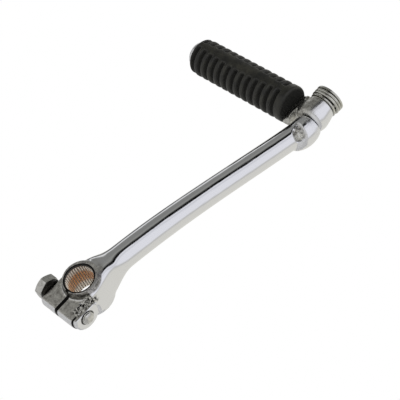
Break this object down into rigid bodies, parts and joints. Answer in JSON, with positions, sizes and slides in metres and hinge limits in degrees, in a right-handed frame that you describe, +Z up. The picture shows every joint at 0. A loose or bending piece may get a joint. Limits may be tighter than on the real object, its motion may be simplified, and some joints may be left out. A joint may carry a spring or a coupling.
{
  "type": "kick start lever",
  "caption": "Curved kick start lever with a serrated split clamp boss, a folding pedal on a sprung pivot and a ribbed rubber sleeve.",
  "frame": {"origin": "on the axis of the serrated shaft bore, 10 mm in from its engine-side face", "axes": "+Y along the shaft bore towards the engine, +Z up the arm, +X the way the folded pedal points, which is forward on a right-hand side lever"},
  "size_m": [0.1287, 0.077, 0.2378],
  "materials": {
    "polished_steel": "bright chrome plating over a ground forging",
    "plated_steel": "satin zinc plating",
    "spring_steel": "bright plated spring steel",
    "bare_steel": "turned steel, slightly oily",
    "rubber": "satin moulded rubber"
  },
  "bodies": {
    "lever": {"lever_arm": "polished_steel", "pinch_bolt": "plated_steel", "lock_washer": "spring_steel", "pivot_pin": "bare_steel", "stop_pin": "bare_steel", "lower_washer": "plated_steel", "joint_spring": "spring_steel", "upper_washer": "plated_steel", "retaining_ring": "spring_steel"},
    "pedal": {"pedal_lever": "polished_steel", "pedal_rubber": "rubber"}
  },
  "joints": [
    {"name": "pedal_fold", "type": "hinge", "parent": "lever", "child": "pedal", "pos_m": [0, -0.0537, 0.1962], "axis": [0, 0, -1], "range_deg": [0, 90]}
  ]
}
